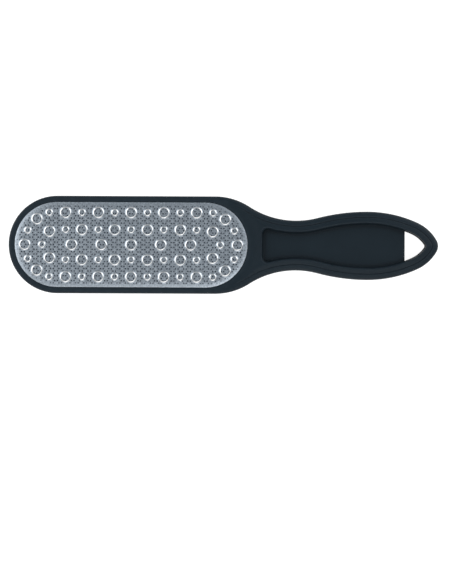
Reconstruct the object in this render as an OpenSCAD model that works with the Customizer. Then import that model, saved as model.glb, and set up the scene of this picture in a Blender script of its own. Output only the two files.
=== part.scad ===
// Double-sided foot rasp: a one-piece moulded paddle and handle with an
// abrasive steel plate bonded into a shallow seat on each face.
// X runs along the tool with the handle at +X, Y across it and Z up.
// The origin is at the middle of the tool, at the level it rests on.

/* [Overall size] */
// Length from the paddle's round end to the tip of the handle
overall_length = 260; // [250:1:266]
// Thickness over the two crests of the grip
grip_thickness = 11.2; // [10.8:0.1:13]

/* [Paddle] */
// Width of the paddle
paddle_width = 59; // [56:0.5:62]
// Thickness of the border that frames the plates
paddle_thickness = 10; // [9.6:0.1:10.4]
// Width of the border that shows round each plate
border_width = 3.8; // [3.2:0.1:4.5]
// Width of the ledge that carries the rim of each plate
ledge_width = 4; // [3:0.5:6]
// Distance between the ribs that stiffen the paddle
rib_pitch = 20; // [16:1:28]
// Thickness of the ribs
rib_thickness = 1.6; // [1.2:0.1:2.4]

/* [Handle] */
// Width of the handle at the waist of its neck
neck_width = 30.2; // [28:0.2:31]
// Distance from the middle of the tool to the start of the shoulders
shoulder_start = 5; // [3:0.1:7]
// Greatest width of the grip
grip_width = 41.4; // [40:0.2:42]
// Radius of the shoulder where the paddle narrows
shoulder_radius = 38; // [36:1:40]
// Radius of the hollow of the neck
neck_radius = 52; // [50:1:54]
// Radius of the grip's swell on its neck side
swell_radius = 118; // [112:2:124]
// Radius of the grip's swell on its tip side
tail_radius = 73; // [70:1:76]
// Radius of the flank that leads into the tip
flank_radius = 26; // [24:1:28]
// Radius of the tip
tip_radius = 7; // [6:0.5:8]

/* [Grip section] */
// Thickness of the web between the two hollows of the grip
web_thickness = 2.2; // [1.6:0.1:2.4]
// Width of the rim between the edge of the handle and its hollows
rim_width = 7.05; // [6.6:0.05:7.4]
// Width of the low outer band of that rim
band_width = 3; // [2.8:0.1:3.4]
// Radius of the rounded outer edges
edge_radius = 2.4; // [1:0.1:2.6]
// Distance from the neck end of the hollows to the middle of the tool
hollow_start_x = 23.3; // [22:0.1:26]
// Radius of the corners at the neck end of the hollows
hollow_corner_radius = 3.6; // [2:0.1:4]
// Radius of the hollows and of the hanging hole at the tip
hollow_tip_radius = 2.4; // [1:0.1:3]
// Distance from the straight edge of the hanging hole to the middle of the tool
hole_start_x = 109.8; // [104:0.1:112]

/* [Plates] */
// Length of each plate
plate_length = 140.7; // [138:0.1:142]
// Thickness of the steel plates
plate_thickness = 0.9; // [0.7:0.05:1]
// Thickness of the bonding film under each plate
film_thickness = 0.2; // [0.1:0.05:0.3]
// Gap between each plate and the wall of its seat
seat_clearance = 0.15; // [0.1:0.05:0.3]
// Width of the sloping margin of the coarse plate
coarse_margin = 3.4; // [2:0.1:4]
// Drop of the sloping margin of the coarse plate
coarse_drop = 0.5; // [0.3:0.05:0.6]
// Size of the small chamfer round the fine plate
fine_chamfer = 0.3; // [0.1:0.05:0.5]

/* [Rasping rings] */
// Outer diameter of the large rings
large_ring = 7.1; // [6.4:0.1:7.4]
// Outer diameter of the small rings
small_ring = 4.9; // [4.4:0.1:5.2]
// Height of the rings above the plate
ring_height = 0.8; // [0.4:0.05:1.2]
// Width of a ring's ridge at its foot
ridge_width = 1.3; // [1:0.1:1.6]
// Width of a ring's ridge at its crest
crest_width = 0.4; // [0.2:0.1:0.8]
// Distance between rings along the two outer and the two middle rows
ring_pitch = 19.8; // [19:0.1:20.5]
// Distance between the large rings along the centre row
centre_pitch = 18; // [17:0.1:19]
// Distance of the middle rows from the centre row
middle_row_y = 9.1; // [8.6:0.1:9.4]
// Distance of the outer rows from the centre row
outer_row_y = 19.4; // [18.6:0.1:19.8]

/* [Hidden] */
$fn = 96;
// How far the web runs into the rim round it
web_root = 1;
// Slices that make up the round of an outer edge
edge_steps = 4;

// Levels are measured from the middle plane of the tool.
middle_z = grip_thickness / 2;
crest_z = grip_thickness / 2;
border_z = paddle_thickness / 2;
web_z = web_thickness / 2;
seat_z = crest_z - plate_thickness - film_thickness;

// The paddle and its plates are rectangles with half-round ends.
paddle_radius = paddle_width / 2;
paddle_end_x = -overall_length / 2 + paddle_radius;
plate_radius = paddle_radius - border_width;
plate_end_x = plate_length - 2 * plate_radius + paddle_end_x;
plate_middle_x = (paddle_end_x + plate_end_x) / 2;

// Half the edge of the handle is a chain of arcs that meet at tangents.
neck_y = neck_width / 2;
grip_y = grip_width / 2;
shoulder_drop = paddle_radius - neck_y;
swell_rise = grip_y - neck_y;
shoulder_x = -shoulder_start;
neck_x = shoulder_x + sqrt(shoulder_drop * (2 * (shoulder_radius + neck_radius) - shoulder_drop));
grip_x = neck_x + sqrt(swell_rise * (2 * (neck_radius + swell_radius) - swell_rise));
shoulder_centre = [shoulder_x, paddle_radius - shoulder_radius];
neck_centre = [neck_x, neck_y + neck_radius];
swell_centre = [grip_x, grip_y - swell_radius];
tail_centre = [grip_x, grip_y - tail_radius];
tip_centre = [overall_length / 2 - tip_radius, 0];
flank_centre = crossing(tail_centre, tail_radius - flank_radius, tip_centre, flank_radius - tip_radius);

// Directions of the joints between the arcs, seen from the arcs' centres.
shoulder_heading = heading(shoulder_centre, neck_centre);
swell_heading = heading(swell_centre, neck_centre);
tail_heading = heading(tail_centre, flank_centre);

// Rings near the two round ends, as [x, y, outer diameter] in one quarter.
end_rings = [[49.3, 8, large_ring], [56.9, 15.5, large_ring], [62.4, 8.6, small_ring]];
// The last small and the last large ring of the centre row, from the middle of the plate.
centre_small_x = 53.9;
centre_end_x = 64.3;

// The higher of the two points where circles round a and b cross.
function crossing(a, ra, b, rb) =
    let (d = norm(b - a), u = (b - a) / d, t = (ra * ra - rb * rb + d * d) / (2 * d),
         h = sqrt(ra * ra - t * t), left = a + t * u + h * [-u.y, u.x],
         right = a + t * u - h * [-u.y, u.x])
    left.y > right.y ? left : right;

// Direction of p seen from c, in degrees.
function heading(c, p) = atan2(p.y - c.y, p.x - c.x);

// Points along an arc, without its first point unless the chain starts there.
function arc(c, r, from, to, steps, first = 1) =
    [for (i = [first:steps]) let (a = from + (to - from) * i / steps) c + r * [cos(a), sin(a)]];

// A chain of points closed by its own mirror image below the X axis.
function closed(half) = concat(half, [for (i = [len(half) - 2:-1:1]) [half[i].x, -half[i].y]]);

// Radius and centre of the arc at the tip, which keeps a least radius as the inset grows.
function tip_round(inset) = max(tip_radius - inset, hollow_tip_radius);
function tip_middle(inset) =
    [flank_centre.x + sqrt(pow(flank_radius - inset - tip_round(inset), 2) - pow(flank_centre.y, 2)), 0];

// Upper edge of the handle from the waist of its neck to the tip, moved inwards by the inset.
function grip_edge(inset, from) =
    let (tip = tip_middle(inset), tip_heading = heading(flank_centre, tip))
    concat(
        arc(neck_centre, neck_radius + inset, from, swell_heading + 180, 10),
        arc(swell_centre, swell_radius - inset, swell_heading, 90, 6),
        arc(tail_centre, tail_radius - inset, 90, tail_heading, 6),
        arc(flank_centre, flank_radius - inset, tail_heading, tip_heading, 6),
        arc(tip, tip_round(inset), tip_heading, 0, 4));

// Outline of the whole tool, moved inwards by the inset.
function outline(inset) = closed(concat(
    arc([paddle_end_x, 0], paddle_radius - inset, 180, 90, 18, 0),
    arc(shoulder_centre, shoulder_radius - inset, 90, shoulder_heading, 6, 0),
    grip_edge(inset, shoulder_heading + 180)));

// Rectangle with half-round ends that shares its end centres with the plates.
module plate_shape(radius) {
    translate([paddle_end_x, 0]) circle(r = radius);
    translate([plate_end_x, 0]) circle(r = radius);
    translate([paddle_end_x, -radius]) square([plate_end_x - paddle_end_x, 2 * radius]);
}

// The tool without its raised grip face: slices whose edges lie on the round of the outer edge.
module rounded_slab() {
    for (i = [0:edge_steps]) {
        turn = 90 * i / edge_steps;
        slice_z = border_z - edge_radius * (1 - sin(turn));
        translate([0, 0, -slice_z])
            linear_extrude(height = 2 * slice_z) polygon(outline(edge_radius * (1 - cos(turn))));
    }
}

// Face of the handle that stands above the paddle's border.
module grip_face() {
    difference() {
        intersection() {
            polygon(outline(band_width));
            translate([plate_end_x, -paddle_radius]) square([overall_length, paddle_width]);
        }
        translate([plate_end_x, 0]) circle(r = paddle_radius);
    }
}

// Outline of the hollows in the grip, with rounded corners at the neck end, grown by a width all round.
module hollow_shape(grow = 0) {
    corner_x = hollow_start_x + hollow_corner_radius;
    reach = neck_radius + rim_width + hollow_corner_radius;
    corner = [corner_x, neck_centre.y - sqrt(reach * reach - pow(corner_x - neck_x, 2))];
    toward_neck = heading(corner, neck_centre);
    polygon(closed(concat(
        [[hollow_start_x - grow, 0]],
        arc(corner, hollow_corner_radius + grow, 180, toward_neck, 6, 0),
        grip_edge(rim_width - grow, toward_neck + 180))));
}

// Web that closes the hollows up to the straight edge of the hanging hole and runs into the rim.
module web() {
    translate([0, 0, -web_z])
        linear_extrude(height = web_thickness)
            intersection() {
                hollow_shape(web_root);
                translate([0, -grip_width]) square([hole_start_x, 2 * grip_width]);
            }
}

// Hidden pockets between the ribs under a plate.
module rib_pockets() {
    rib_count = floor((plate_end_x - paddle_end_x) / 2 / rib_pitch) + 1;
    difference() {
        plate_shape(plate_radius - ledge_width);
        for (i = [-rib_count:rib_count])
            translate([plate_middle_x + i * rib_pitch - rib_thickness / 2, -paddle_radius])
                square([rib_thickness, paddle_width]);
        for (side = [-1, 0, 1])
            translate([-overall_length / 2, side * rib_pitch / 2 - rib_thickness / 2])
                square([overall_length, rib_thickness]);
    }
}

// What is cut from one face of the paddle: the plate's seat and the pockets under it.
module seat_cuts() {
    translate([0, 0, seat_z]) linear_extrude(height = crest_z) plate_shape(plate_radius + seat_clearance);
    translate([0, 0, web_z]) linear_extrude(height = crest_z) rib_pockets();
}

module handle_body() {
    color("#26313a")
        translate([0, 0, middle_z]) {
            difference() {
                union() {
                    rounded_slab();
                    translate([0, 0, -crest_z]) linear_extrude(height = grip_thickness) grip_face();
                }
                for (face = [0, 1]) mirror([0, 0, face]) seat_cuts();
                translate([0, 0, -grip_thickness]) linear_extrude(height = 2 * grip_thickness) hollow_shape();
            }
            web();
        }
}

// A steel blank that lies on z = 0, with its outer edge sloping down over the margin.
module plate_blank(margin, drop) {
    low = plate_thickness - drop;
    section = [[0, 0], [plate_radius, 0], [plate_radius, low],
               [plate_radius - margin, plate_thickness], [0, plate_thickness]];
    span = plate_end_x - paddle_end_x;
    translate([plate_end_x, 0, 0]) rotate([0, 0, -90]) rotate_extrude(angle = 180) polygon(section);
    translate([paddle_end_x, 0, 0]) rotate([0, 0, 90]) rotate_extrude(angle = 180) polygon(section);
    for (side = [0, 1])
        mirror([0, side, 0])
            translate([paddle_end_x, 0, 0]) rotate([90, 0, 90]) linear_extrude(height = span) polygon(section);
}

// One raised ring of the coarse plate.
module rasp_ring(diameter) {
    foot = -plate_thickness / 2;
    slope = (ridge_width - crest_width) / 2;
    outer = diameter / 2;
    rotate_extrude()
        polygon([[outer - ridge_width, foot], [outer, foot], [outer, 0], [outer - slope, ring_height],
                 [outer - slope - crest_width, ring_height], [outer - ridge_width, 0]]);
}

// All rings of the coarse plate, with a large and a small one in turn along the rows.
module rasp_rings() {
    for (side = [-1, 1]) {
        for (i = [-2:2]) {
            translate([i * ring_pitch, side * outer_row_y, 0]) rasp_ring(large_ring);
            translate([i * ring_pitch, side * middle_row_y, 0]) rasp_ring(small_ring);
        }
        for (i = [-2.5:2.5]) translate([i * ring_pitch, side * outer_row_y, 0]) rasp_ring(small_ring);
        for (i = [-1.5:1.5]) translate([i * ring_pitch, side * middle_row_y, 0]) rasp_ring(large_ring);
        translate([side * centre_small_x, 0, 0]) rasp_ring(small_ring);
        translate([side * centre_end_x, 0, 0]) rasp_ring(large_ring);
        for (end = [-1, 1])
            for (ring = end_rings) translate([end * ring.x, side * ring.y, 0]) rasp_ring(ring.z);
    }
    for (i = [-2:2]) translate([i * centre_pitch, 0, 0]) rasp_ring(large_ring);
}

module coarse_plate() {
    color("#8a939b")
        translate([0, 0, middle_z + crest_z - plate_thickness]) {
            plate_blank(coarse_margin, coarse_drop);
            translate([plate_middle_x, 0, plate_thickness]) rasp_rings();
        }
}

module fine_plate() {
    color("#98a1a9")
        translate([0, 0, plate_thickness])
            mirror([0, 0, 1])
                plate_blank(fine_chamfer, fine_chamfer);
}

// The bonding film that fills the space between a plate and the floor of its seat.
module film() {
    linear_extrude(height = film_thickness) plate_shape(plate_radius - seat_clearance);
}

module coarse_plate_adhesive() {
    color("#c9c7bd") translate([0, 0, middle_z + seat_z]) film();
}

module fine_plate_adhesive() {
    color("#c9c7bd") translate([0, 0, plate_thickness]) film();
}

handle_body();
coarse_plate();
fine_plate();
coarse_plate_adhesive();
fine_plate_adhesive();
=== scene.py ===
"""Double-sided foot rasp: a moulded handle and frame with a coarse and a fine steel plate.

Lengths in this file are millimetres unless a name or a comment says metres, and every mesh is
scaled by MM as it is made. The tool lies along X with its handle at +X and its coarse plate up.
"""
from collections import namedtuple
from math import atan2, cos, hypot, pi, radians, sin, sqrt, tau

import bmesh
import bpy
import numpy as np
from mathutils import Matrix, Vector
from mathutils.geometry import delaunay_2d_cdt


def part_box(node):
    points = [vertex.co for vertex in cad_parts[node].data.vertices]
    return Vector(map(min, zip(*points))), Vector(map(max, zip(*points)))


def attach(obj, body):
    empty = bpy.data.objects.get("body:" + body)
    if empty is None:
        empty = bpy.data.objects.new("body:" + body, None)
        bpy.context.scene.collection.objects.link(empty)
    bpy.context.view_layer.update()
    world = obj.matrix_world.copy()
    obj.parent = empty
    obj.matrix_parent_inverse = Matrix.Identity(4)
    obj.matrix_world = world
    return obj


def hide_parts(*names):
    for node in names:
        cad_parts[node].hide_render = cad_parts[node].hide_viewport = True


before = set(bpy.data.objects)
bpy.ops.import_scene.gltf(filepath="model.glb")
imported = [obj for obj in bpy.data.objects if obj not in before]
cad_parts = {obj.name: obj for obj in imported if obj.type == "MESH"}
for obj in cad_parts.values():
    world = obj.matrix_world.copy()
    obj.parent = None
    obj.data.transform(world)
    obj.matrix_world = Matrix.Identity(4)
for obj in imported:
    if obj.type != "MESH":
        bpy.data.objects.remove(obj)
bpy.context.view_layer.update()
MM = 0.001


def node_box(node):
    """Lowest and highest corners of a CAD node, in millimetres."""
    low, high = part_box(node)
    return np.array(low) / MM, np.array(high) / MM


# ---------------------------------------------------------------- sizes, from the frame
BODY_LOW, BODY_HIGH = node_box("handle_body")
COARSE_LOW, COARSE_HIGH = node_box("coarse_plate")
FINE_LOW, FINE_HIGH = node_box("fine_plate")
FILM_LOW, _ = node_box("coarse_plate_adhesive")

LENGTH = BODY_HIGH[0] - BODY_LOW[0]
PADDLE_RADIUS = (BODY_HIGH[1] - BODY_LOW[1]) / 2
MIDDLE_Z = (BODY_LOW[2] + BODY_HIGH[2]) / 2
CREST_Z = (BODY_HIGH[2] - BODY_LOW[2]) / 2
PLATE_RADIUS = (FINE_HIGH[1] - FINE_LOW[1]) / 2
PLATE_LENGTH = FINE_HIGH[0] - FINE_LOW[0]
PLATE_THICKNESS = FINE_HIGH[2] - FINE_LOW[2]
PLATE_MIDDLE_X = (FINE_LOW[0] + FINE_HIGH[0]) / 2
PLATE_END_X = PLATE_MIDDLE_X + PLATE_LENGTH / 2 - PLATE_RADIUS
RING_HEIGHT = (COARSE_HIGH[2] - COARSE_LOW[2]) - PLATE_THICKNESS
SEAT_Z = FILM_LOW[2] - MIDDLE_Z

# ---------------------------------------------------------------- sizes that the frame doesn't state
# Levels above the tool's middle plane, of the paddle's border and of the web between the hollows
BORDER_Z = 5.0
WEB_Z = 1.1

# The edge of the handle is a chain of arcs that meet at tangents
NECK_Y = 15.1
GRIP_Y = 20.7
SHOULDER_X = -5.0
SHOULDER_R, NECK_R, SWELL_R, TAIL_R, FLANK_R, TIP_R = 38.0, 52.0, 118.0, 73.0, 26.0, 7.0

# The round of the outer wall, across and down, on the paddle and how much larger on the handle
ROUND_ACROSS, ROUND_ACROSS_MORE = 1.2, 1.75
ROUND_DOWN, ROUND_DOWN_MORE = 1.6, 1.2
ROUND_FADE = 30.0

# The grip's face: a low band round its edge, a thin groove, and a crest that fades in at the paddle
BAND_WIDTH = 3.0
CREST_ROUND = 2.8
CREASE_WIDTH = 6.0
GROOVE_DEPTH, GROOVE_REACH, GROOVE_INSET = 0.25, 0.25, 0.55
GROOVE_START_X, GROOVE_FADE = 4.0, 10.0

# The hollows in the grip and the hanging hole, which starts at the web's straight edge
RIM_WIDTH = 7.05
HOLLOW_START_X = 23.3
HOLLOW_CORNER = 3.6
HOLLOW_TIP = 2.4
HOLLOW_LIP = 0.9
DRAFT = 0.6
FILLET = 0.8
HOLE_START_X = 109.8

# The seat of a plate
SEAT_GAP = 0.15
SEAT_LIP = 0.3

# How dark the painted shade is in the grooves, on the hollows' walls and in the hanging hole, and how far
# from a hollow's edge it goes
GROOVE_SHADE, HOLLOW_SHADE, HOLE_SHADE = 0.5, 0.42, 1.0
CORNER_REACH = 3.2
WALL_SHADE_TOP, WALL_SHADE_FADE = 1.0, 1.5

# Mesh spacing on the body, and points closer than WELD become one
SPACING = 1.2
ARC_STEPS_PER_RADIUS = 8
WELD = 0.008


# ---------------------------------------------------------------- outlines
Arc = namedtuple("Arc", "centre radius start end hollow", defaults=(False,))


def heading(centre, point):
    return atan2(point[1] - centre[1], point[0] - centre[0])


def chain_arcs():
    """The arcs of the upper edge, from the paddle to the tip."""
    drop, rise = PADDLE_RADIUS - NECK_Y, GRIP_Y - NECK_Y
    neck_x = SHOULDER_X + sqrt(drop * (2 * (SHOULDER_R + NECK_R) - drop))
    grip_x = neck_x + sqrt(rise * (2 * (NECK_R + SWELL_R) - rise))
    paddle = (BODY_LOW[0] + PADDLE_RADIUS, 0.0)
    shoulder = (SHOULDER_X, PADDLE_RADIUS - SHOULDER_R)
    neck = (neck_x, NECK_Y + NECK_R)
    swell = (grip_x, GRIP_Y - SWELL_R)
    tail = (grip_x, GRIP_Y - TAIL_R)
    tip = (BODY_HIGH[0] - TIP_R, 0.0)
    # the flank's centre is where circles round the tail's and the tip's centres cross
    a, b = TAIL_R - FLANK_R, FLANK_R - TIP_R
    dx, dy = tip[0] - tail[0], tip[1] - tail[1]
    d = hypot(dx, dy)
    along = (a * a - b * b + d * d) / (2 * d)
    across = sqrt(a * a - along * along)
    flank = (tail[0] + (along * dx - across * dy) / d, tail[1] + (along * dy + across * dx) / d)
    to_neck, to_swell = heading(shoulder, neck), heading(swell, neck)
    to_flank, to_tip = heading(tail, flank), heading(flank, tip)
    return (
        Arc(paddle, PADDLE_RADIUS, pi, pi / 2),
        Arc(shoulder, SHOULDER_R, pi / 2, to_neck),
        Arc(neck, NECK_R, to_neck + pi, to_swell + pi, hollow=True),
        Arc(swell, SWELL_R, to_swell, pi / 2),
        Arc(tail, TAIL_R, pi / 2, to_flank),
        Arc(flank, FLANK_R, to_flank, to_tip),
        Arc(tip, TIP_R, to_tip, 0.0),
    )


ARCS = chain_arcs()
PADDLE, SHOULDER, NECK, SWELL, TAIL, FLANK, _ = ARCS


def arc_samples(arc, spacing, first=True):
    """Points along an arc, with or without its first, and the normals that point out of the tool."""
    steps = max(2, round(abs(arc.end - arc.start) * arc.radius / spacing))
    angles = np.linspace(arc.start, arc.end, steps + 1)[0 if first else 1:]
    ray = np.stack([np.cos(angles), np.sin(angles)], axis=1)
    return np.array(arc.centre) + arc.radius * ray, (-ray if arc.hollow else ray)


def line_samples(start, end, normal, spacing):
    """Points strictly between two ends of a straight stretch."""
    steps = max(1, round(hypot(end[0] - start[0], end[1] - start[1]) / spacing))
    t = np.arange(1, steps)[:, None] / steps
    points = np.array(start) + t * (np.array(end) - np.array(start))
    return points, np.tile(np.array(normal, float), (len(points), 1))


def closed_loop(parts):
    """Joins the parts of an upper edge, which starts and ends on the X axis, and its mirror image."""
    points, normals = (np.concatenate(side) for side in zip(*parts))
    flip = np.array([1.0, -1.0])
    return (np.concatenate([points, points[-2:0:-1] * flip]),
            np.concatenate([normals, normals[-2:0:-1] * flip]))


def outer_edge():
    """The outline of the whole tool, clockwise from its round end, closely spaced on tight arcs."""
    side_start, side_end = (PADDLE.centre[0], PADDLE_RADIUS), (SHOULDER_X, PADDLE_RADIUS)
    parts = [arc_samples(PADDLE, SPACING)]
    parts.append(line_samples(side_start, side_end, (0, 1), SPACING))
    parts.append(arc_samples(SHOULDER, SPACING))
    for arc in ARCS[2:]:
        parts.append(arc_samples(arc, min(SPACING, arc.radius / ARC_STEPS_PER_RADIUS), first=False))
    return closed_loop(parts)


def hollow_edge():
    """The mouth of the grip's hollows, clockwise from the neck end."""
    corner_x = HOLLOW_START_X + HOLLOW_CORNER
    reach = NECK.radius + RIM_WIDTH + HOLLOW_CORNER
    corner = (corner_x, NECK.centre[1] - sqrt(reach ** 2 - (corner_x - NECK.centre[0]) ** 2))
    toward_neck = heading(corner, NECK.centre)
    tip_reach = FLANK.radius - RIM_WIDTH - HOLLOW_TIP
    tip = (FLANK.centre[0] + sqrt(tip_reach ** 2 - FLANK.centre[1] ** 2), 0.0)
    to_tip = heading(FLANK.centre, tip)
    rim = [
        Arc(NECK.centre, NECK.radius + RIM_WIDTH, toward_neck + pi, NECK.end, hollow=True),
        Arc(SWELL.centre, SWELL.radius - RIM_WIDTH, SWELL.start, SWELL.end),
        Arc(TAIL.centre, TAIL.radius - RIM_WIDTH, TAIL.start, TAIL.end),
        Arc(FLANK.centre, FLANK.radius - RIM_WIDTH, FLANK.start, to_tip),
    ]
    fine = SPACING / 3
    parts = [(np.array([[HOLLOW_START_X, 0.0]]), np.array([[-1.0, 0.0]]))]
    parts.append(line_samples((HOLLOW_START_X, 0), (HOLLOW_START_X, corner[1]), (-1, 0), SPACING))
    parts.append(arc_samples(Arc(corner, HOLLOW_CORNER, pi, toward_neck), fine))
    parts += [arc_samples(arc, SPACING, first=False) for arc in rim]
    parts.append(arc_samples(Arc(tip, HOLLOW_TIP, to_tip, 0.0), fine, first=False))
    return closed_loop(parts)


def obround_edge(radius, spacing):
    """A rectangle with half-round ends, concentric with the plates' ends, clockwise."""
    left = PLATE_MIDDLE_X * 2 - PLATE_END_X
    parts = [arc_samples(Arc((left, 0.0), radius, pi, pi / 2), spacing)]
    parts.append(line_samples((left, radius), (PLATE_END_X, radius), (0, 1), spacing))
    parts.append(arc_samples(Arc((PLATE_END_X, 0.0), radius, pi / 2, 0.0), spacing))
    return closed_loop(parts)


def edge_distance(points):
    """How far each point lies inside the tool's outline."""
    x, y = points[:, 0], np.abs(points[:, 1])
    best = np.where((x >= PADDLE.centre[0]) & (x <= SHOULDER_X), PADDLE_RADIUS - y, np.inf)
    for arc in ARCS:
        dx, dy = x - arc.centre[0], y - arc.centre[1]
        low, high = min(arc.start, arc.end), max(arc.start, arc.end)
        turn = (np.arctan2(dy, dx) - low) % tau
        reach = np.hypot(dx, dy)
        gap = reach - arc.radius if arc.hollow else arc.radius - reach
        best = np.where((turn <= high - low + 1e-6), np.minimum(best, gap), best)
    return best


def smooth(t):
    t = np.clip(t, 0.0, 1.0)
    return t * t * (3 - 2 * t)


def quarter(t):
    """Rises steeply from 0 and levels out at 1, like the side of a round."""
    t = np.clip(t, 0.0, 1.0)
    return np.sqrt(1 - (1 - t) ** 2)


def round_rows(edge, toward, radius, top, steps):
    """Rows down a quarter round, as (points, level), from one radius off the edge to the edge itself."""
    turns = [pi / 2 * i / steps for i in range(steps + 1)]
    return [(edge + toward * radius * (1 - sin(turn)), top - radius * (1 - cos(turn))) for turn in turns]


# ---------------------------------------------------------------- mesh helpers
class Sheet:
    """Vertices and faces gathered in millimetres, welded when the mesh is made."""

    def __init__(self):
        self.points, self.faces = [], []

    def ring(self, points_2d, z):
        """Adds a row of points at one level, or at one level each, and gives their numbers."""
        start = len(self.points)
        z = np.broadcast_to(np.asarray(z, float), (len(points_2d),))
        self.points += [(p[0], p[1], h) for p, h in zip(points_2d, z)]
        return list(range(start, len(self.points)))

    def strips(self, rows, closed=True):
        """Quads between each two neighbours of some rows of the same length."""
        for a, b in zip(rows, rows[1:]):
            count = len(a)
            for i in range(count if closed else count - 1):
                j = (i + 1) % count
                self.faces.append((a[i], a[j], b[j], b[i]))

    def face(self, ring):
        self.faces.append(tuple(ring))

    def fill(self, outer, holes, inner, height):
        """Triangles between an outer ring and holes, through more points, at the levels that height gives."""
        points = [outer] + list(holes) + [inner]
        flat = np.concatenate([np.asarray(p, float).reshape(-1, 2) for p in points])
        starts = np.cumsum([0] + [len(p) for p in points])
        loops = [list(range(starts[i], starts[i + 1])) for i in range(len(holes) + 1)]
        edges = [(ring[i], ring[(i + 1) % len(ring)]) for ring in loops for i in range(len(ring))]
        found = delaunay_2d_cdt([Vector(p) for p in flat], edges, [], 0, 1e-5)
        verts = np.array([tuple(v) for v in found[0]])
        tris = np.array(found[2])
        middles = verts[tris].mean(axis=1)
        keep = inside(middles, np.asarray(outer))
        for hole in holes:
            keep &= ~inside(middles, np.asarray(hole))
        start = len(self.points)
        levels = height(verts)
        self.points += [(v[0], v[1], h) for v, h in zip(verts, levels)]
        self.faces += [tuple(int(i) + start for i in t) for t in tris[keep]]

    def mirror_down(self):
        """Adds the mirror image below z = 0."""
        count = len(self.points)
        self.points += [(x, y, -z) for x, y, z in self.points]
        self.faces += [tuple(i + count for i in reversed(f)) for f in self.faces]

    def mesh(self, name, lift=0.0, flip=False):
        """The welded mesh in metres, raised by lift and, if flipped, upside down."""
        sign = -1.0 if flip else 1.0
        bm = bmesh.new()
        verts = [bm.verts.new((x * MM, y * MM, (sign * z + lift) * MM)) for x, y, z in self.points]
        for f in self.faces:
            bm.faces.new([verts[i] for i in f])
        bmesh.ops.remove_doubles(bm, verts=bm.verts, dist=WELD * MM)
        loose = [v for v in bm.verts if not v.link_faces]
        bmesh.ops.delete(bm, geom=loose, context="VERTS")
        bmesh.ops.recalc_face_normals(bm, faces=bm.faces)
        data = bpy.data.meshes.new(name)
        bm.to_mesh(data)
        bm.free()
        return data


def inside(points, ring):
    """Which points lie inside a closed ring, by counting the edges to their right."""
    x, y = points[:, 0][:, None], points[:, 1][:, None]
    ax, ay = ring[:, 0][None, :], ring[:, 1][None, :]
    bx, by = np.roll(ring[:, 0], -1)[None, :], np.roll(ring[:, 1], -1)[None, :]
    out = np.zeros(len(points), bool)
    # in batches of a few thousand points, so that the tables stay small
    for rows in np.array_split(np.arange(len(points)), max(1, len(points) // 4000)):
        px, py = x[rows], y[rows]
        across = (ay > py) != (by > py)
        with np.errstate(divide="ignore", invalid="ignore"):
            cut = ax + (py - ay) * (bx - ax) / (by - ay)
        out[rows] = (np.sum(across & (px < cut), axis=1) % 2) == 1
    return out


def coordinates(data):
    """The vertices of a mesh in millimetres, one row each."""
    flat = np.empty(len(data.vertices) * 3)
    data.vertices.foreach_get("co", flat)
    return flat.reshape(-1, 3) / MM


def mark(data, name, values):
    """Stores a number at each vertex, which a material reads by its name."""
    data.attributes.new(name, "FLOAT", "POINT").data.foreach_set("value", np.asarray(values, np.float32))


def mark_edge_wear_and_highlight(data, full_at):
    """Marks how strongly the surface bends outwards, in radians per millimetre, up to full_at. The plastic
    paints scuffs and a painted highlight on its rounds by this mark.
    """
    places = coordinates(data)
    normals = np.empty(len(data.vertices) * 3)
    data.vertices.foreach_get("normal", normals)
    normals = normals.reshape(-1, 3)
    pairs = np.empty(len(data.edges) * 2, int)
    data.edges.foreach_get("vertices", pairs)
    a, b = pairs.reshape(-1, 2).T
    run = places[b] - places[a]
    shortest = 0.02
    reach = np.maximum(np.linalg.norm(run, axis=1), shortest)
    bend = np.einsum("ij,ij->i", normals[b] - normals[a], run) / reach ** 2
    most = np.zeros(len(places))
    np.maximum.at(most, a, bend)
    np.maximum.at(most, b, bend)
    mark(data, "wear", np.clip(most / full_at, 0, 1))


def add_object(name, data, sharp_degrees):
    """An object that is shaded smooth up to an angle between its faces."""
    data.shade_smooth()
    data.set_sharp_from_angle(angle=radians(sharp_degrees))
    piece = bpy.data.objects.new(name, data)
    bpy.context.scene.collection.objects.link(piece)
    return piece


# ---------------------------------------------------------------- the moulded body
# Mesh rows across the groove and the crest's round, by distance inside the band, and across the crease
# between paddle and grip, as shares of its width
STEP_ROWS = (0.0, 0.15, 0.3, 0.42, 0.55, 0.68, 0.85, 1.1, 1.5, 2.0, 2.5, 3.0)
CREASE_ROWS = (0.0, 0.12, 0.25, 0.4, 0.55, 0.7, 0.85, 1.0, 1.4)
# Mesh rows on the web beside its fillet, so that the shade at the fillet stays there
WEB_ROWS = (0.4, 0.9, 1.4, 2.1)
# Rows nearer than this to another row are left out
ROW_GAP = 0.1


def groove_fade(points):
    """The grooves start at nothing near the paddle."""
    return smooth((points[:, 0] - GROOVE_START_X) / GROOVE_FADE)


def crest_height(points):
    """Level of the body's upper faces: the paddle's border, and the grip's face that stands above it."""
    from_edge = edge_distance(points) - BAND_WIDTH
    from_plate = np.hypot(points[:, 0] - PLATE_END_X, points[:, 1]) - PADDLE_RADIUS
    on_handle = points[:, 0] > PLATE_END_X
    edge_rise = smooth((from_edge - GROOVE_INSET) / CREST_ROUND)
    plate_rise = smooth(from_plate / CREASE_WIDTH)
    rise = np.where(on_handle, np.minimum(edge_rise, plate_rise), 0.0)
    groove = GROOVE_DEPTH * np.exp(-((from_edge - GROOVE_INSET) / GROOVE_REACH) ** 2)
    groove *= smooth(3 * from_edge / GROOVE_REACH) * groove_fade(points)
    return BORDER_Z + (CREST_Z - BORDER_Z) * rise - groove


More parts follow.
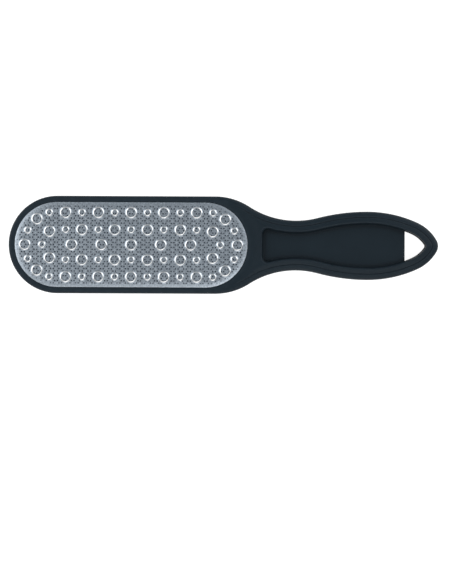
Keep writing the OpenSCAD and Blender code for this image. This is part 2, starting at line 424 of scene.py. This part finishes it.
def step_points():
    """Points along the groove and the round of the grip's face, and along its crease to the paddle."""
    edge, normals = outer_edge()
    rows = []
    for inset in STEP_ROWS:
        row = edge - (BAND_WIDTH + inset) * normals
        outside = np.hypot(row[:, 0] - PLATE_END_X, row[:, 1]) > PADDLE_RADIUS + ROW_GAP
        rows.append(row[outside & (row[:, 0] > 0)])
    for share in CREASE_ROWS:
        radius = PADDLE_RADIUS + CREASE_WIDTH * share
        angles = np.linspace(-pi / 2, pi / 2, round(pi * radius / SPACING))
        row = np.stack([PLATE_END_X + radius * np.cos(angles), radius * np.sin(angles)], axis=1)
        rows.append(row[edge_distance(row) > BAND_WIDTH + ROW_GAP])
    return np.concatenate(rows)


def outer_wall(sheet):
    """The upper half of the outer wall with its round. Gives the outline of the face above it."""
    edge, normals = outer_edge()
    handle = smooth((edge[:, 0] - SHOULDER_X) / ROUND_FADE)
    across = ROUND_ACROSS + ROUND_ACROSS_MORE * handle
    down = ROUND_DOWN + ROUND_DOWN_MORE * handle
    part_way_up = 0.6
    rows = [sheet.ring(edge, 0.0), sheet.ring(edge, (BORDER_Z - down) * part_way_up)]
    steps = 8
    for i in range(steps + 1):
        turn = pi / 2 * i / steps
        inset = across * (1 - cos(turn))
        rows.append(sheet.ring(edge - normals * inset[:, None], BORDER_Z - down * (1 - sin(turn))))
    sheet.strips(rows)
    return edge - normals * across[:, None]


def plate_seat(sheet):
    """The seat of a plate with a small round at its mouth. Gives the mouth's outline."""
    seat, outward = obround_edge(PLATE_RADIUS + SEAT_GAP, SPACING)
    lip = round_rows(seat, outward, SEAT_LIP, BORDER_Z, steps=3)
    rows = [sheet.ring(row, z) for row, z in lip] + [sheet.ring(seat, SEAT_Z)]
    sheet.strips(rows)
    sheet.face(rows[-1])
    return lip[0][0]


def height_at(row, x):
    """Where the upper half of a hollow's outline crosses x in the half of the hollow next to the tip."""
    upper = row[row[:, 1] > 0]
    upper = upper[upper[:, 0] > (HOLLOW_START_X + HOLE_START_X) / 2]
    order = np.argsort(upper[:, 0])
    return float(np.interp(x, upper[order, 0], upper[order, 1]))


class Hollow:
    """One of the grip's hollows, as its outline and the two points of it that the web's edge meets."""

    def __init__(self):
        self.edge, self.outward = hollow_edge()
        foot = self.edge - self.outward * DRAFT
        gap = np.where(foot[:, 1] > 0, np.abs(foot[:, 0] - HOLE_START_X), np.inf)
        self.upper = int(np.argmin(gap))
        self.lower = len(foot) - self.upper

    def row(self, inset):
        """The outline moved inwards, with both points moved exactly onto the web's straight edge."""
        row = self.edge - self.outward * inset
        y = height_at(row, HOLE_START_X)
        row[self.upper] = (HOLE_START_X, y)
        row[self.lower] = (HOLE_START_X, -y)
        return row

    def wall(self, sheet):
        """The round lip and the drafted wall. Gives the mouth's outline and the numbers along the foot."""
        lip = round_rows(self.edge, self.outward, HOLLOW_LIP, CREST_Z, steps=5)
        rows = [sheet.ring(row, z) for row, z in lip]
        rows.append(sheet.ring(self.row(DRAFT), WEB_Z + FILLET))
        sheet.strips(rows)
        return lip[0][0], rows[-1]

    def floor(self, sheet, foot):
        """From the wall's foot straight down beside the hanging hole, and by a fillet onto the web."""
        beside_hole = list(range(self.upper, self.lower + 1))
        beside_web = list(range(self.lower, len(foot))) + list(range(self.upper + 1))
        hole_row = sheet.ring(self.row(DRAFT)[beside_hole], 0.0)
        sheet.strips([[foot[i] for i in beside_hole], hole_row], closed=False)
        steps = 5
        turns = [pi / 2 * i / steps for i in range(1, steps + 1)]
        profile = [(DRAFT + FILLET * (1 - cos(turn)), WEB_Z + FILLET - FILLET * sin(turn)) for turn in turns]
        profile += [(DRAFT + FILLET + run, WEB_Z) for run in WEB_ROWS]
        rows = [[foot[i] for i in beside_web]]
        rows += [sheet.ring(self.row(inset)[beside_web], level) for inset, level in profile]
        sheet.strips(rows, closed=False)
        sheet.face(rows[-1])
        upper_end, lower_end = [row[-1] for row in rows], [row[0] for row in rows]
        sheet.face(upper_end + lower_end[::-1] + [hole_row[-1], hole_row[0]])


def build_body():
    """The upper half of the body and its mirror image."""
    sheet = Sheet()
    face_edge = outer_wall(sheet)
    seat_mouth = plate_seat(sheet)
    hollow = Hollow()
    hollow_mouth, foot = hollow.wall(sheet)
    hollow.floor(sheet, foot)
    sheet.fill(face_edge, [seat_mouth, hollow_mouth], step_points(), crest_height)
    sheet.mirror_down()
    return sheet.mesh("handle_body_moulding", lift=MIDDLE_Z)


def mark_shade(data):
    """Marks painted shade in the grooves, and on the hollows' walls with the corner at their foot, darkest
    beside the hanging hole.
    """
    spots = coordinates(data)
    plan, level = spots[:, :2], np.abs(spots[:, 2] - MIDDLE_Z)
    mouth, _ = hollow_edge()
    gap = np.full(len(spots), np.inf)
    for x, y in mouth:
        gap = np.minimum(gap, np.hypot(plan[:, 0] - x, plan[:, 1] - y))
    at_mouth = gap < DRAFT / 2
    wall = (inside(plan, mouth) | at_mouth) * (1 - smooth((gap - DRAFT) / CORNER_REACH))
    wall *= smooth((CREST_Z - WALL_SHADE_TOP - level) / WALL_SHADE_FADE)
    wall *= np.where(plan[:, 0] > HOLE_START_X, HOLE_SHADE, HOLLOW_SHADE)
    groove = np.exp(-((edge_distance(plan) - BAND_WIDTH - GROOVE_INSET) / GROOVE_REACH) ** 2)
    groove *= groove_fade(plan) * (level > BORDER_Z - 1)
    mark(data, "shade", np.maximum(wall, GROOVE_SHADE * groove))


# ---------------------------------------------------------------- the steel plates
# The etched pads are hexagons in columns across the plate. Lines run between them, a pit lies where
# three of them meet, and a faint round groove, the eye, lies about each pad's middle.
PAD_PITCH = 2.9
PAD_COLUMN = PAD_PITCH * sqrt(3) / 2
PAD_CORNER = PAD_PITCH / sqrt(3)
COARSE_LINE_DEPTH, FINE_LINE_DEPTH, PIT_DEPTH = 0.02, 0.05, 0.22
# How dark the etched lines are, and how dark the pits are painted as shade
LINE_SHADE, PIT_SHADE = 0.45, 2.1
LINE_REACH, PIT_REACH = 0.17, 0.4
EYE_RADIUS, EYE_REACH, EYE_SHARE = 0.68, 0.2, 0.8

# A pad's mesh points: distances from its middle towards corners and towards lines, and from its corners
# inwards, then shares of a side's length beside each line and on it
TOWARD_CORNER = (0.36, EYE_RADIUS, 1.0)
TOWARD_LINE = (EYE_RADIUS, 1.25)
FROM_CORNER = (0.28, 0.5)
BESIDE_LINE = (0.24, 0.496, 0.84)
ON_LINE = (-0.3, -0.14, 0.14, 0.3)

# The face's round edge, where its etching starts, and how its margin drops
PLATE_ROUND = 0.15
PLATE_SPACING = 0.8
ETCH_START = 0.2
ETCH_SPREAD = 0.85
MARGIN_POWER = 1.6

# The ridges are worn bright from this share of their height, and fully after this much more
WORN_FROM, WORN_SPAN = 0.3, 0.5

# Outer radii of the two ring sizes, and the spacing of the rows of rings along the plate. Past the rows,
# each end has rings on the plate's axis, as (x, size), and beside it, as (x, y, size).
LARGE, SMALL = 3.8, 2.55
RING_PITCH, CENTRE_PITCH = 19.8, 18.0
MIDDLE_ROW, OUTER_ROW = 9.1, 19.4
AXIS_RINGS = ((53.9, SMALL), (64.3, LARGE))
END_RINGS = ((49.3, 8.0, LARGE), (56.9, 15.5, LARGE), (62.4, 8.6, SMALL))

# The ridge's profile, from its outer foot to its inner foot: distance inwards and share of the height
RIDGE = [(0.0, 0.0), (0.12, 0.08), (0.34, 0.38), (0.56, 0.69),
         (0.76, 0.91), (0.92, 1.0), (1.04, 1.0), (1.16, 0.0)]
RIDGE_WIDTH = RIDGE[-1][0]
RING_SEGMENTS = 44


def ring_layout():
    """Rasping rings as (x, y, outer radius) about the plate's middle."""
    rings = [(i * CENTRE_PITCH, 0.0, LARGE) for i in range(-2, 3)]
    for side in (-1, 1):
        rings += [(i * RING_PITCH, side * OUTER_ROW, LARGE) for i in range(-2, 3)]
        rings += [(i * RING_PITCH, side * MIDDLE_ROW, SMALL) for i in range(-2, 3)]
        rings += [((i + 0.5) * RING_PITCH, side * OUTER_ROW, SMALL) for i in range(-3, 3)]
        rings += [((i + 0.5) * RING_PITCH, side * MIDDLE_ROW, LARGE) for i in range(-2, 2)]
        rings += [(side * x, 0.0, size) for x, size in AXIS_RINGS]
        rings += [(end * x, side * y, size) for end in (-1, 1) for x, y, size in END_RINGS]
    return rings


def direction(angle):
    return np.array([cos(angle), sin(angle)])


def pad_cells():
    """Middles of the etched pads: columns along X, each other one moved by half a pitch."""
    columns = int(PLATE_LENGTH / 2 / PAD_COLUMN) + 1
    rows = int(PLATE_RADIUS / PAD_PITCH) + 1
    cells = []
    for i in range(-columns, columns + 1):
        shift = 0.5 * (i % 2)
        cells += [(i * PAD_COLUMN, (j + shift) * PAD_PITCH) for j in range(-rows - 1, rows + 1)]
    return np.array(cells)


def pad_pattern(points):
    """How strongly each point lies on a line or a pad's eye, and in a pit where three pads meet."""
    best_edge = np.full(len(points), -np.inf)
    local = np.zeros_like(points)
    c, s = direction(pi / 6)
    for shift in (0, 1):
        column = 2 * np.round((points[:, 0] / PAD_COLUMN - shift) / 2) + shift
        row = np.round(points[:, 1] / PAD_PITCH - 0.5 * shift) + 0.5 * shift
        dx = points[:, 0] - column * PAD_COLUMN
        dy = points[:, 1] - row * PAD_PITCH
        reach = np.maximum(np.abs(dy), np.maximum(np.abs(dx * c + dy * s), np.abs(dx * c - dy * s)))
        edge = PAD_PITCH / 2 - reach
        closer = edge > best_edge
        best_edge = np.where(closer, edge, best_edge)
        local[closer] = np.stack([dx, dy], axis=1)[closer]
    corner = np.full(len(points), np.inf)
    for k in range(6):
        cx, cy = PAD_CORNER * direction(k * pi / 3)
        corner = np.minimum(corner, np.hypot(local[:, 0] - cx, local[:, 1] - cy))
    eye = EYE_SHARE * np.exp(-((np.hypot(local[:, 0], local[:, 1]) - EYE_RADIUS) / EYE_REACH) ** 2)
    line = np.maximum(eye, np.exp(-(best_edge / LINE_REACH) ** 2))
    pit = np.exp(-(corner / PIT_REACH) ** 2)
    return line, pit


def pad_points():
    """Mesh points that resolve every pad, line and pit. A pad adds two of its corners and three of its
    lines, as its neighbours add the others."""
    shape = [np.zeros(2)]
    for k in range(6):
        turn = k * pi / 3
        between = turn + pi / 6
        corner = PAD_CORNER * direction(turn)
        shape += [r * direction(turn) for r in TOWARD_CORNER]
        shape += [r * direction(between) for r in TOWARD_LINE]
        shape += [corner - direction(turn) * r for r in FROM_CORNER]
        along, inward = PAD_CORNER * direction(turn + 2 * pi / 3), LINE_REACH * direction(between + pi)
        shape += [corner + along * share + inward for share in BESIDE_LINE]
    corners = [(PAD_CORNER, 0.0), (-PAD_CORNER, 0.0)]
    lines = []
    for k in range(3):
        middle = k * pi / 3 + pi / 6
        across, run = direction(middle) * PAD_PITCH / 2, PAD_CORNER * direction(middle + pi / 2)
        lines += [across + run * share for share in ON_LINE]
    cells = pad_cells()[:, None, :]
    return np.concatenate([(cells + np.array(group)[None, :, :]).reshape(-1, 2)
                           for group in (shape, corners, lines)])


def plate_inset(points):
    """How far each point lies inside the plate's outline."""
    half = PLATE_LENGTH / 2 - PLATE_RADIUS
    beyond = np.maximum(np.abs(points[:, 0]) - half, 0.0)
    return PLATE_RADIUS - np.hypot(beyond, points[:, 1])


def ring_share(points, rings):
    """How far up the ridge of a ring each point lies, and whether it is on a ring at all."""
    widths, levels = zip(*RIDGE)
    share = np.zeros(len(points))
    on_ring = np.zeros(len(points))
    slack = 0.02
    for x, y, outer in rings:
        width = outer - np.hypot(points[:, 0] - x, points[:, 1] - y)
        share = np.maximum(share, np.interp(width, widths, levels, left=0, right=0))
        on_ring = np.maximum(on_ring, (width > -slack) & (width < RIDGE_WIDTH + slack))
    return share, on_ring


def plate_points(rings):
    """Points that resolve a plate's pads and, in rows round each ring, its ridges."""
    pads = pad_points()
    edge_gap, clear = 0.25, 0.08
    keep = plate_inset(pads) > PLATE_ROUND + edge_gap
    for x, y, outer in rings:
        away = np.hypot(pads[:, 0] - x, pads[:, 1] - y)
        keep &= (away > outer + clear) | (away < outer - RIDGE_WIDTH - clear)
    rows = [pads[keep]]
    angles = np.arange(RING_SEGMENTS) * tau / RING_SEGMENTS
    rays = np.stack([np.cos(angles), np.sin(angles)], axis=1)
    for x, y, outer in rings:
        rows += [np.array([x, y]) + (outer - width) * rays for width, _ in RIDGE]
    return np.concatenate(rows)


def build_plate(name, rings, margin, drop, line_depth, lift, flip=False):
    """A plate with etched pads and raised rings, whose face slopes down over its margin."""
    def surface(points):
        inset = plate_inset(points)
        ring, on_ring = ring_share(points, rings)
        line, pit = pad_pattern(points)
        fade = smooth((inset - ETCH_START) / (ETCH_SPREAD * margin + ETCH_START)) * (1 - on_ring)
        slope = drop * np.clip(1 - inset / margin, 0, 1) ** MARGIN_POWER
        edge_round = PLATE_ROUND * (1 - quarter(inset / PLATE_ROUND))
        etched = fade * (line_depth * line + PIT_DEPTH * pit)
        level = PLATE_THICKNESS - slope - edge_round - etched + RING_HEIGHT * ring
        # The second value darkens the etched lines by their own tone and paints shade into the pits
        return level, fade * np.maximum(LINE_SHADE * line, np.minimum(PIT_SHADE * pit, 1)), ring

    middle = np.array([PLATE_MIDDLE_X, 0.0])
    edge, outward = obround_edge(PLATE_RADIUS, PLATE_SPACING)
    edge = edge - middle
    face_level = PLATE_THICKNESS - drop * (1 - PLATE_ROUND / margin) ** MARGIN_POWER
    sheet = Sheet()
    sheet.fill(edge - outward * PLATE_ROUND, [], plate_points(rings), lambda points: surface(points)[0])
    rounded = round_rows(edge, -outward, PLATE_ROUND, face_level, steps=3)
    rows = [sheet.ring(row, z) for row, z in rounded] + [sheet.ring(edge, 0.0)]
    sheet.strips(rows)
    sheet.face(rows[-1])
    sheet.points = [(x + PLATE_MIDDLE_X, y, z) for x, y, z in sheet.points]
    data = sheet.mesh(name, lift=lift, flip=flip)

    _, etch_and_pit_shade, ring = surface(coordinates(data)[:, :2] - middle)
    mark(data, "etch_and_pit_shade", etch_and_pit_shade)
    mark(data, "wear", smooth((ring - WORN_FROM) / WORN_SPAN))
    return data


body = add_object("moulded_body", build_body(), sharp_degrees=32)
mark_edge_wear_and_highlight(body.data, full_at=0.9)
mark_shade(body.data)
coarse_mesh = build_plate("coarse_rasp_plate", ring_layout(), margin=3.4, drop=0.5,
                          line_depth=COARSE_LINE_DEPTH, lift=COARSE_LOW[2])
coarse = add_object("coarse_rasp_plate", coarse_mesh, sharp_degrees=50)
fine_mesh = build_plate("fine_rasp_plate", [], margin=0.4, drop=0.2,
                        line_depth=FINE_LINE_DEPTH, lift=FINE_HIGH[2], flip=True)
fine = add_object("fine_rasp_plate", fine_mesh, sharp_degrees=50)

for piece, node, slot in ((body, "handle_body", "body_plastic"),
                          (coarse, "coarse_plate", "coarse_steel"),
                          (fine, "fine_plate", "fine_steel")):
    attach(piece, "root")
    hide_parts(node)


# ---------------------------------------------------------------- materials
# Colours as linear red, green and blue
PLASTIC_DARK, PLASTIC_LIGHT = (0.0050, 0.0110, 0.0162), (0.0060, 0.0126, 0.0184)
# The pale colour of scuffs also paints a highlight on the rounds, and the shaded colour is painted shade
PLASTIC_SCUFFED_AND_HIGHLIT, PLASTIC_SHADED = (0.017, 0.025, 0.033), (0.0012, 0.0028, 0.0040)
COARSE_DARK, COARSE_LIGHT = (0.257, 0.29, 0.328), (0.306, 0.345, 0.383)
FINE_DARK, FINE_LIGHT = (0.30, 0.33, 0.365), (0.35, 0.38, 0.415)
# The etched colour is the lines' own dark tone and painted shade in the pits
STEEL_ETCHED_AND_SHADED, STEEL_WORN = (0.012, 0.018, 0.028), (0.78, 0.79, 0.79)
FLECK_GAIN = 1.45
FILM_DARK, FILM_LIGHT = (0.50, 0.49, 0.45), (0.62, 0.61, 0.57)


def grey(level):
    return (level, level, level)


def new_material(name):
    material = bpy.data.materials.new(name)
    material.use_nodes = True
    nodes, links = material.node_tree.nodes, material.node_tree.links
    return material, nodes, links, nodes["Principled BSDF"]


def object_place(nodes):
    """Texture coordinates in metres that stay with the piece."""
    return nodes.new("ShaderNodeTexCoord").outputs["Object"]


def noise(nodes, links, vector, scale, detail=2.0, rough=0.5):
    node = nodes.new("ShaderNodeTexNoise")
    node.inputs["Scale"].default_value = scale
    node.inputs["Detail"].default_value = detail
    node.inputs["Roughness"].default_value = rough
    links.new(vector, node.inputs["Vector"])
    return node.outputs["Fac"]


def ramp(nodes, links, value, stops):
    """A colour by value, between stops that are (value, colour)."""
    node = nodes.new("ShaderNodeValToRGB")
    while len(node.color_ramp.elements) < len(stops):
        node.color_ramp.elements.new(0.5)
    for element, (place, colour) in zip(node.color_ramp.elements, stops):
        element.position = place
        element.color = (*colour, 1.0)
    links.new(value, node.inputs["Fac"])
    return node.outputs["Color"]


def bump(nodes, links, height, distance, strength):
    """A normal bent by a height, whose full range is a distance in metres."""
    node = nodes.new("ShaderNodeBump")
    node.inputs["Strength"].default_value = strength
    node.inputs["Distance"].default_value = distance
    links.new(height, node.inputs["Height"])
    return node.outputs["Normal"]


def mark_value(nodes, name):
    """The number that mark() stored at the mesh's vertices."""
    node = nodes.new("ShaderNodeAttribute")
    node.attribute_name = name
    return node.outputs["Fac"]


def mix(nodes, links, share, below, above):
    """A colour between two colours or links, by share."""
    node = nodes.new("ShaderNodeMix")
    node.data_type = "RGBA"
    links.new(share, node.inputs["Factor"])
    for socket, value in ((node.inputs["A"], below), (node.inputs["B"], above)):
        if isinstance(value, tuple):
            socket.default_value = (*value, 1.0)
        else:
            links.new(value, socket)
    return node.outputs["Result"]


def moulded_plastic():
    """Matte blue-black plastic: pale scuffs on its rounds that also serve as a painted highlight there, and
    painted shade in its grooves and hollows, where it is duller too.
    """
    material, nodes, links, shader = new_material("matte_moulded_plastic")
    place = object_place(nodes)
    cloud = noise(nodes, links, place, scale=60, detail=3)
    base = ramp(nodes, links, cloud, [(0.3, PLASTIC_DARK), (0.7, PLASTIC_LIGHT)])
    # Pale scuffs on the rounds and lips, which also paint a highlight there
    scuff_and_highlight = nodes.new("ShaderNodeMath")
    scuff_and_highlight.operation = "MULTIPLY"
    links.new(mark_value(nodes, "wear"), scuff_and_highlight.inputs[0])
    links.new(noise(nodes, links, place, scale=400, detail=4), scuff_and_highlight.inputs[1])
    worn = ramp(nodes, links, scuff_and_highlight.outputs[0], [(0.2, grey(0)), (0.8, grey(0.5))])
    scuffed_and_highlit = mix(nodes, links, worn, base, PLASTIC_SCUFFED_AND_HIGHLIT)
    # Painted shade in the grooves, the hollows and the hanging hole, which are also made duller
    shade = mark_value(nodes, "shade")
    links.new(mix(nodes, links, shade, scuffed_and_highlit, PLASTIC_SHADED), shader.inputs["Base Color"])
    grain = noise(nodes, links, place, scale=2600)
    matte = ramp(nodes, links, grain, [(0.3, grey(0.44)), (0.7, grey(0.56))])
    links.new(mix(nodes, links, shade, matte, grey(0.95)), shader.inputs["Roughness"])
    links.new(bump(nodes, links, grain, distance=0.00006, strength=0.4), shader.inputs["Normal"])
    shader.inputs["Specular IOR Level"].default_value = 0.14
    return material


def etched_steel(name, dark, light):
    """Brushed steel: darker where it is etched and with painted shade in its pits, brighter and smoother
    where ridges are worn.
    """
    material, nodes, links, shader = new_material(name)
    place = object_place(nodes)
    cloud = noise(nodes, links, place, scale=90, detail=4)
    base = ramp(nodes, links, cloud, [(0.3, dark), (0.7, light)])
    sparkle = noise(nodes, links, place, scale=1100, rough=0.7)
    fleck = ramp(nodes, links, sparkle, [(0.42, grey(0)), (0.7, grey(1))])
    base = mix(nodes, links, fleck, base, tuple(FLECK_GAIN * c for c in light))
    # Etched lines get their own dark tone, and the pits get painted shade
    etched = mix(nodes, links, mark_value(nodes, "etch_and_pit_shade"), base, STEEL_ETCHED_AND_SHADED)
    wear = mark_value(nodes, "wear")
    links.new(mix(nodes, links, wear, etched, STEEL_WORN), shader.inputs["Base Color"])
    speck = noise(nodes, links, place, scale=3200, rough=0.6)
    dull = ramp(nodes, links, speck, [(0.3, grey(0.36)), (0.7, grey(0.5))])
    links.new(mix(nodes, links, wear, dull, grey(0.3)), shader.inputs["Roughness"])
    links.new(bump(nodes, links, speck, distance=0.00004, strength=0.3), shader.inputs["Normal"])
    shader.inputs["Metallic"].default_value = 1.0
    return material


def bonding_film():
    """Cream adhesive film with a fibrous surface."""
    material, nodes, links, shader = new_material("bonding_film")
    fibre = noise(nodes, links, object_place(nodes), scale=900, detail=3)
    colour = ramp(nodes, links, fibre, [(0.3, FILM_DARK), (0.7, FILM_LIGHT)])
    links.new(colour, shader.inputs["Base Color"])
    links.new(bump(nodes, links, fibre, distance=0.00005, strength=0.4), shader.inputs["Normal"])
    shader.inputs["Roughness"].default_value = 0.7
    return material


def paint(piece, material):
    piece.data.materials.clear()
    piece.data.materials.append(material)


paint(body, moulded_plastic())
paint(coarse, etched_steel("coarse_etched_steel", COARSE_DARK, COARSE_LIGHT))
paint(fine, etched_steel("fine_etched_steel", FINE_DARK, FINE_LIGHT))
film = bonding_film()
for node in ("coarse_plate_adhesive", "fine_plate_adhesive"):
    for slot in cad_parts[node].material_slots:
        slot.material = film


# ---------------------------------------------------------------- floor, light and camera, in metres
FLOOR_REACH = 3.0
FLOOR_DROP = 0.0002
WHITE, WARM, SOFT_WARM = (1.0, 1.0, 1.0), (1.0, 0.97, 0.94), (1.0, 0.99, 0.98)

# The tool takes this share of the view's width, and lies this far from the view's middle
TOOL_SHARE = 0.94845
CAMERA_X, CAMERA_Y = 1.64 * MM, -28.32 * MM
CAMERA_TURN = 0.25


def pale_floor():
    """A pale light table just under the tool, which keeps its shadow as faint as on a lit sweep."""
    r = FLOOR_REACH
    data = bpy.data.meshes.new("floor")
    data.from_pydata([(-r, -r, 0), (r, -r, 0), (r, r, 0), (-r, r, 0)], [], [(0, 1, 2, 3)])
    floor = bpy.data.objects.new("floor", data)
    floor.location.z = -FLOOR_DROP
    bpy.context.scene.collection.objects.link(floor)
    material, _, _, shader = new_material("pale_floor")
    shader.inputs["Base Color"].default_value = (*grey(0.35), 1)
    shader.inputs["Roughness"].default_value = 0.9
    shader.inputs["Specular IOR Level"].default_value = 0.1
    shader.inputs["Emission Color"].default_value = (*WHITE, 1)
    shader.inputs["Emission Strength"].default_value = 0.92
    data.materials.append(material)


def tent():
    """Even light from all round, a little fainter from above."""
    world = bpy.data.worlds.new("studio")
    world.use_nodes = True
    nodes, links = world.node_tree.nodes, world.node_tree.links
    height = nodes.new("ShaderNodeSeparateXYZ")
    links.new(nodes.new("ShaderNodeTexCoord").outputs["Generated"], height.inputs["Vector"])
    glow = ramp(nodes, links, height.outputs["Z"], [
        (0.0, (0.38, 0.39, 0.41)),
        (0.5, (0.38, 0.40, 0.42)),
        (0.85, (0.30, 0.32, 0.34)),
        (1.0, (0.25, 0.27, 0.29))])
    links.new(glow, nodes["Background"].inputs["Color"])
    bpy.context.scene.world = world


def softbox(name, place, size, power, tint):
    """A square light that faces the middle of the tool."""
    data = bpy.data.lights.new(name, "AREA")
    data.shape = "SQUARE"
    data.size = size
    data.energy = power
    data.color = tint
    lamp = bpy.data.objects.new(name, data)
    lamp.location = place
    lamp.rotation_euler = (-Vector(place)).to_track_quat("-Z", "Y").to_euler()
    bpy.context.scene.collection.objects.link(lamp)


def softboxes():
    """Three large boxes low on the left, on the right and in front, and two smaller ones overhead."""
    softbox("key_left", (-0.74, 0.18, 0.34), size=1.0, power=7.6, tint=WHITE)
    softbox("key_right", (0.62, 0.38, 0.34), size=0.85, power=5.0, tint=WHITE)
    softbox("low_front", (-0.05, -0.78, 0.34), size=0.8, power=2.7, tint=WARM)
    softbox("overhead_left", (-0.42, -0.08, 0.88), size=0.5, power=0.8, tint=SOFT_WARM)
    softbox("overhead_front", (0.26, -0.44, 0.84), size=0.5, power=2.4, tint=SOFT_WARM)


def camera():
    """Looks straight down with a long lens. The tool lies above the middle of a portrait frame."""
    data = bpy.data.cameras.new("camera")
    data.sensor_fit = "HORIZONTAL"
    data.sensor_width = 36.0
    data.lens = 200.0
    data.clip_end = 20
    view_width = LENGTH * MM / TOOL_SHARE
    distance = view_width * data.lens / data.sensor_width
    eye = bpy.data.objects.new("camera", data)
    eye.location = (CAMERA_X, CAMERA_Y, MIDDLE_Z * MM + distance)
    eye.rotation_euler = (0, 0, radians(CAMERA_TURN))
    bpy.context.scene.collection.objects.link(eye)
    bpy.context.scene.camera = eye


pale_floor()
tent()
softboxes()
camera()
bpy.context.scene.view_settings.view_transform = "Standard"
